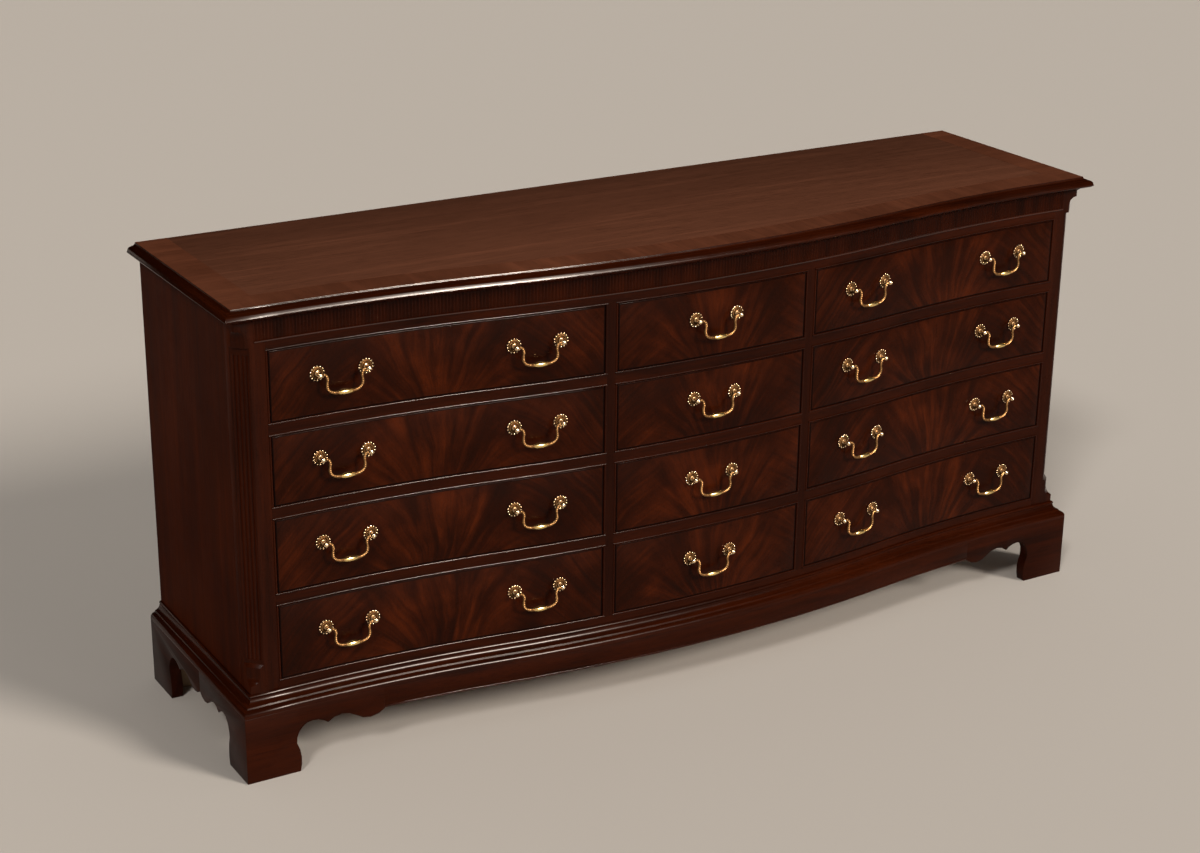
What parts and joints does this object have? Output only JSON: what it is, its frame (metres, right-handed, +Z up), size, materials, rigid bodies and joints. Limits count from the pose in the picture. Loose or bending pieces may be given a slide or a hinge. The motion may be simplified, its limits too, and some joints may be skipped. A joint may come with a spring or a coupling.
{
  "type": "dresser",
  "caption": "Low, wide dresser with a serpentine front, drawers in three columns, a fluted frieze, canted corners, bail handles and scalloped bracket feet.",
  "frame": {"origin": "on the floor, under the centre of the outline of the top", "axes": "+X to the right along the front, +Y from the front to the back, +Z up"},
  "size_m": [1.866, 0.533, 0.87],
  "materials": {
    "case_wood": "dark red-brown mahogany, polished lacquer",
    "top_wood": "red-brown mahogany, polished lacquer",
    "crossband_wood": "cross-grained mahogany border, polished lacquer",
    "drawer_wood": "flame-figured mahogany, polished lacquer",
    "inner_wood": "plain secondary wood, thin varnish",
    "base_wood": "dark red-brown mahogany, polished lacquer",
    "brass": "antiqued polished brass"
  },
  "bodies": {
    "case": {"side_panels": "case_wood", "corner_post_left": "case_wood", "corner_post_right": "case_wood", "frieze": "case_wood", "front_frame": "case_wood", "base_moulding": "case_wood", "foot_front_left": "case_wood", "foot_front_right": "case_wood", "foot_back_left": "case_wood", "foot_back_right": "case_wood", "cock_beads": "case_wood", "top_board": "top_wood", "top_crossband": "crossband_wood", "back_panel": "inner_wood", "partitions_and_runners": "inner_wood", "base_frame": "base_wood"},
    "drawer_left_1": {"drawer_left_1": "drawer_wood", "handle_mounts_left_1": "brass"},
    "bail_left_1_a": {"bail_left_1_a": "brass"},
    "bail_left_1_b": {"bail_left_1_b": "brass"},
    "drawer_left_2": {"drawer_left_2": "drawer_wood", "handle_mounts_left_2": "brass"},
    "bail_left_2_a": {"bail_left_2_a": "brass"},
    "bail_left_2_b": {"bail_left_2_b": "brass"},
    "drawer_left_3": {"drawer_left_3": "drawer_wood", "handle_mounts_left_3": "brass"},
    "bail_left_3_a": {"bail_left_3_a": "brass"},
    "bail_left_3_b": {"bail_left_3_b": "brass"},
    "drawer_left_4": {"drawer_left_4": "drawer_wood", "handle_mounts_left_4": "brass"},
    "bail_left_4_a": {"bail_left_4_a": "brass"},
    "bail_left_4_b": {"bail_left_4_b": "brass"},
    "drawer_centre_1": {"drawer_centre_1": "drawer_wood", "handle_mounts_centre_1": "brass"},
    "bail_centre_1": {"bail_centre_1": "brass"},
    "drawer_centre_2": {"drawer_centre_2": "drawer_wood", "handle_mounts_centre_2": "brass"},
    "bail_centre_2": {"bail_centre_2": "brass"},
    "drawer_centre_3": {"drawer_centre_3": "drawer_wood", "handle_mounts_centre_3": "brass"},
    "bail_centre_3": {"bail_centre_3": "brass"},
    "drawer_centre_4": {"drawer_centre_4": "drawer_wood", "handle_mounts_centre_4": "brass"},
    "bail_centre_4": {"bail_centre_4": "brass"},
    "drawer_right_1": {"drawer_right_1": "drawer_wood", "handle_mounts_right_1": "brass"},
    "bail_right_1_a": {"bail_right_1_a": "brass"},
    "bail_right_1_b": {"bail_right_1_b": "brass"},
    "drawer_right_2": {"drawer_right_2": "drawer_wood", "handle_mounts_right_2": "brass"},
    "bail_right_2_a": {"bail_right_2_a": "brass"},
    "bail_right_2_b": {"bail_right_2_b": "brass"},
    "drawer_right_3": {"drawer_right_3": "drawer_wood", "handle_mounts_right_3": "brass"},
    "bail_right_3_a": {"bail_right_3_a": "brass"},
    "bail_right_3_b": {"bail_right_3_b": "brass"},
    "drawer_right_4": {"drawer_right_4": "drawer_wood", "handle_mounts_right_4": "brass"},
    "bail_right_4_a": {"bail_right_4_a": "brass"},
    "bail_right_4_b": {"bail_right_4_b": "brass"}
  },
  "joints": [
    {"name": "drawer_left_1_slide", "type": "slide", "parent": "case", "child": "drawer_left_1", "axis": [0, -1, 0], "range_m": [0, 0.32]},
    {"name": "bail_left_1_a_swing", "type": "hinge", "parent": "drawer_left_1", "child": "bail_left_1_a", "pos_m": [-0.72115, -0.19829, 0.73375], "axis": [-0.9991, 0.0417, 0], "range_deg": [-10, 95]},
    {"name": "bail_left_1_b_swing", "type": "hinge", "parent": "drawer_left_1", "child": "bail_left_1_b", "pos_m": [-0.36295, -0.23602, 0.73375], "axis": [-0.992, 0.1261, 0], "range_deg": [-10, 95]},
    {"name": "drawer_left_2_slide", "type": "slide", "parent": "case", "child": "drawer_left_2", "axis": [0, -1, 0], "range_m": [0, 0.32]},
    {"name": "bail_left_2_a_swing", "type": "hinge", "parent": "drawer_left_2", "child": "bail_left_2_a", "pos_m": [-0.72115, -0.19829, 0.58074], "axis": [-0.9991, 0.0417, 0], "range_deg": [-10, 95]},
    {"name": "bail_left_2_b_swing", "type": "hinge", "parent": "drawer_left_2", "child": "bail_left_2_b", "pos_m": [-0.36295, -0.23602, 0.58074], "axis": [-0.992, 0.1261, 0], "range_deg": [-10, 95]},
    {"name": "drawer_left_3_slide", "type": "slide", "parent": "case", "child": "drawer_left_3", "axis": [0, -1, 0], "range_m": [0, 0.32]},
    {"name": "bail_left_3_a_swing", "type": "hinge", "parent": "drawer_left_3", "child": "bail_left_3_a", "pos_m": [-0.72115, -0.19829, 0.42324], "axis": [-0.9991, 0.0417, 0], "range_deg": [-10, 95]},
    {"name": "bail_left_3_b_swing", "type": "hinge", "parent": "drawer_left_3", "child": "bail_left_3_b", "pos_m": [-0.36295, -0.23602, 0.42324], "axis": [-0.992, 0.1261, 0], "range_deg": [-10, 95]},
    {"name": "drawer_left_4_slide", "type": "slide", "parent": "case", "child": "drawer_left_4", "axis": [0, -1, 0], "range_m": [0, 0.32]},
    {"name": "bail_left_4_a_swing", "type": "hinge", "parent": "drawer_left_4", "child": "bail_left_4_a", "pos_m": [-0.72115, -0.19829, 0.25975], "axis": [-0.9991, 0.0417, 0], "range_deg": [-10, 95]},
    {"name": "bail_left_4_b_swing", "type": "hinge", "parent": "drawer_left_4", "child": "bail_left_4_b", "pos_m": [-0.36295, -0.23602, 0.25975], "axis": [-0.992, 0.1261, 0], "range_deg": [-10, 95]},
    {"name": "drawer_centre_1_slide", "type": "slide", "parent": "case", "child": "drawer_centre_1", "axis": [0, -1, 0], "range_m": [0, 0.32]},
    {"name": "bail_centre_1_swing", "type": "hinge", "parent": "drawer_centre_1", "child": "bail_centre_1", "pos_m": [0, -0.259, 0.73375], "axis": [-1, 0, 0], "range_deg": [-10, 95]},
    {"name": "drawer_centre_2_slide", "type": "slide", "parent": "case", "child": "drawer_centre_2", "axis": [0, -1, 0], "range_m": [0, 0.32]},
    {"name": "bail_centre_2_swing", "type": "hinge", "parent": "drawer_centre_2", "child": "bail_centre_2", "pos_m": [0, -0.259, 0.58074], "axis": [-1, 0, 0], "range_deg": [-10, 95]},
    {"name": "drawer_centre_3_slide", "type": "slide", "parent": "case", "child": "drawer_centre_3", "axis": [0, -1, 0], "range_m": [0, 0.32]},
    {"name": "bail_centre_3_swing", "type": "hinge", "parent": "drawer_centre_3", "child": "bail_centre_3", "pos_m": [0, -0.259, 0.42324], "axis": [-1, 0, 0], "range_deg": [-10, 95]},
    {"name": "drawer_centre_4_slide", "type": "slide", "parent": "case", "child": "drawer_centre_4", "axis": [0, -1, 0], "range_m": [0, 0.32]},
    {"name": "bail_centre_4_swing", "type": "hinge", "parent": "drawer_centre_4", "child": "bail_centre_4", "pos_m": [0, -0.259, 0.25975], "axis": [-1, 0, 0], "range_deg": [-10, 95]},
    {"name": "drawer_right_1_slide", "type": "slide", "parent": "case", "child": "drawer_right_1", "axis": [0, -1, 0], "range_m": [0, 0.32]},
    {"name": "bail_right_1_a_swing", "type": "hinge", "parent": "drawer_right_1", "child": "bail_right_1_a", "pos_m": [0.36295, -0.23602, 0.73375], "axis": [-0.992, -0.1261, 0], "range_deg": [-10, 95]},
    {"name": "bail_right_1_b_swing", "type": "hinge", "parent": "drawer_right_1", "child": "bail_right_1_b", "pos_m": [0.72115, -0.19829, 0.73375], "axis": [-0.9991, -0.0417, 0], "range_deg": [-10, 95]},
    {"name": "drawer_right_2_slide", "type": "slide", "parent": "case", "child": "drawer_right_2", "axis": [0, -1, 0], "range_m": [0, 0.32]},
    {"name": "bail_right_2_a_swing", "type": "hinge", "parent": "drawer_right_2", "child": "bail_right_2_a", "pos_m": [0.36295, -0.23602, 0.58074], "axis": [-0.992, -0.1261, 0], "range_deg": [-10, 95]},
    {"name": "bail_right_2_b_swing", "type": "hinge", "parent": "drawer_right_2", "child": "bail_right_2_b", "pos_m": [0.72115, -0.19829, 0.58074], "axis": [-0.9991, -0.0417, 0], "range_deg": [-10, 95]},
    {"name": "drawer_right_3_slide", "type": "slide", "parent": "case", "child": "drawer_right_3", "axis": [0, -1, 0], "range_m": [0, 0.32]},
    {"name": "bail_right_3_a_swing", "type": "hinge", "parent": "drawer_right_3", "child": "bail_right_3_a", "pos_m": [0.36295, -0.23602, 0.42324], "axis": [-0.992, -0.1261, 0], "range_deg": [-10, 95]},
    {"name": "bail_right_3_b_swing", "type": "hinge", "parent": "drawer_right_3", "child": "bail_right_3_b", "pos_m": [0.72115, -0.19829, 0.42324], "axis": [-0.9991, -0.0417, 0], "range_deg": [-10, 95]},
    {"name": "drawer_right_4_slide", "type": "slide", "parent": "case", "child": "drawer_right_4", "axis": [0, -1, 0], "range_m": [0, 0.32]},
    {"name": "bail_right_4_a_swing", "type": "hinge", "parent": "drawer_right_4", "child": "bail_right_4_a", "pos_m": [0.36295, -0.23602, 0.25975], "axis": [-0.992, -0.1261, 0], "range_deg": [-10, 95]},
    {"name": "bail_right_4_b_swing", "type": "hinge", "parent": "drawer_right_4", "child": "bail_right_4_b", "pos_m": [0.72115, -0.19829, 0.25975], "axis": [-0.9991, -0.0417, 0], "range_deg": [-10, 95]}
  ]
}
